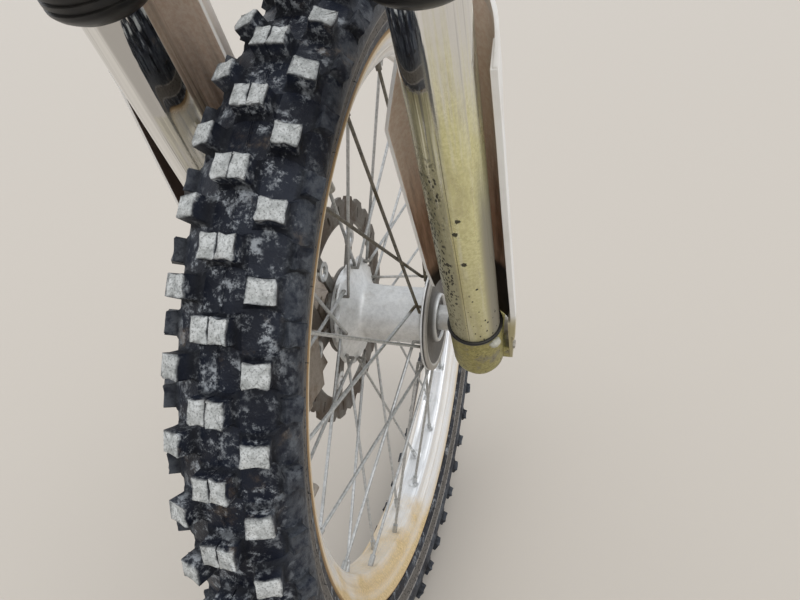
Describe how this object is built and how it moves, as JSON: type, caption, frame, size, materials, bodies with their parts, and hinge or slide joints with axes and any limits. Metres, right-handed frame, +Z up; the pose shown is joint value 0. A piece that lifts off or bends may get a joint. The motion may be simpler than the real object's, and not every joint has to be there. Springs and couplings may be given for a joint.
{
  "type": "motocross fork with front wheel",
  "caption": "Upside-down telescopic fork with clamps, stem and guards, carrying a wire-spoked knobby front wheel with a disc brake.",
  "frame": {"origin": "on the steering axis, at the seat of the lower steering bearing on the lower clamp's top face", "axes": "+X to the rider's right along the wheel's axle, +Y forwards and level, +Z up"},
  "size_m": [0.276, 0.8412, 1.2006],
  "materials": {
    "tyre": "dusty black",
    "rim_alloy": "satin with ochre dirt",
    "hub_cast": "matt cast",
    "steel": "dull",
    "disc_steel": "worn",
    "chrome": "polished",
    "fork_alloy": "satin",
    "clamp_alloy": "satin",
    "white_plastic": "dusty",
    "black_rubber": "matt",
    "caliper_alloy": "cast"
  },
  "bodies": {
    "fork": {"axle_collar_left": "steel", "axle_collar_right": "steel", "axle_lug_left": "fork_alloy", "axle_lug_right": "fork_alloy", "axle_nut": "steel", "bar_mount_caps": "clamp_alloy", "bar_mounts": "clamp_alloy", "brake_caliper": "caliper_alloy", "brake_pads": "steel", "caliper_bracket": "caliper_alloy", "fork_cap_left": "fork_alloy", "fork_cap_right": "fork_alloy", "fork_guard_left": "white_plastic", "fork_guard_right": "white_plastic", "inner_tube_left": "chrome", "inner_tube_right": "chrome", "lower_clamp": "clamp_alloy", "outer_tube_left": "fork_alloy", "outer_tube_right": "fork_alloy", "steering_stem": "steel", "stem_nut": "steel", "upper_clamp": "clamp_alloy", "wheel_axle": "steel", "wiper_left": "black_rubber", "wiper_right": "black_rubber"},
    "wheel": {"tyre": "tyre", "rim": "rim_alloy", "hub": "hub_cast", "wheel_bearings": "steel", "wheel_seals": "black_rubber", "valve_stem": "steel", "rim_lock": "steel", "spokes_left": "steel", "spokes_right": "steel", "nipples": "steel", "brake_disc": "disc_steel"}
  },
  "joints": [
    {"name": "wheel_spin", "type": "hinge", "parent": "fork", "child": "wheel", "pos_m": [0, 0.384, -0.62589], "axis": [1, 0, 0], "continuous": true}
  ]
}
